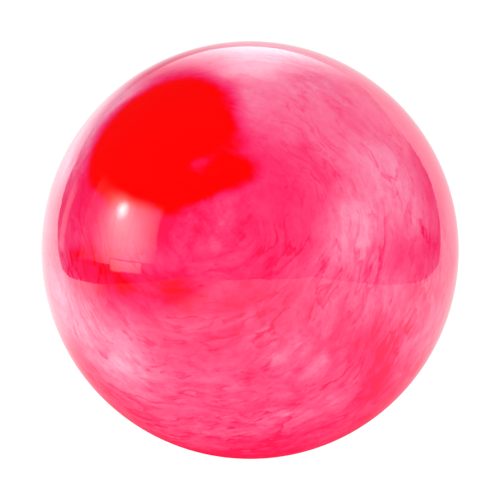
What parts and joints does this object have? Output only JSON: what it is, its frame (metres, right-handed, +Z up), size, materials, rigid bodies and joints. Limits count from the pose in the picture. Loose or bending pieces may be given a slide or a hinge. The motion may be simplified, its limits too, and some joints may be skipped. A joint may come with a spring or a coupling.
{
  "type": "bowling ball",
  "caption": "Bowling ball with a glossy marbled shell over a filler core and weight block, drilled with a grip that has finger inserts and a thumb slug.",
  "frame": {"origin": "the ball's centre", "axes": "+Z up, from the rest spot through the top. -Y is the front and points out of the middle of the grip, with the two finger holes above it and the thumb hole below. +X is on the ring finger's side. The YZ plane is the plane of symmetry, and the axis through the grip's middle, Y, is the one that the mass lies most evenly round."},
  "size_m": [0.217, 0.217, 0.2168],
  "materials": {
    "cover_resin": "polished",
    "filler_resin": "matte",
    "block_resin": "matte",
    "pin_resin": "polished",
    "mark_paint": "gloss",
    "insert_vinyl": "satin",
    "slug_urethane": "satin"
  },
  "bodies": {
    "root": {"coverstock": "cover_resin", "outer_core": "filler_resin", "weight_block": "block_resin", "core_pin": "pin_resin", "cg_marker": "mark_paint", "middle_finger_insert": "insert_vinyl", "ring_finger_insert": "insert_vinyl", "thumb_slug": "slug_urethane"}
  },
  "joints": []
}
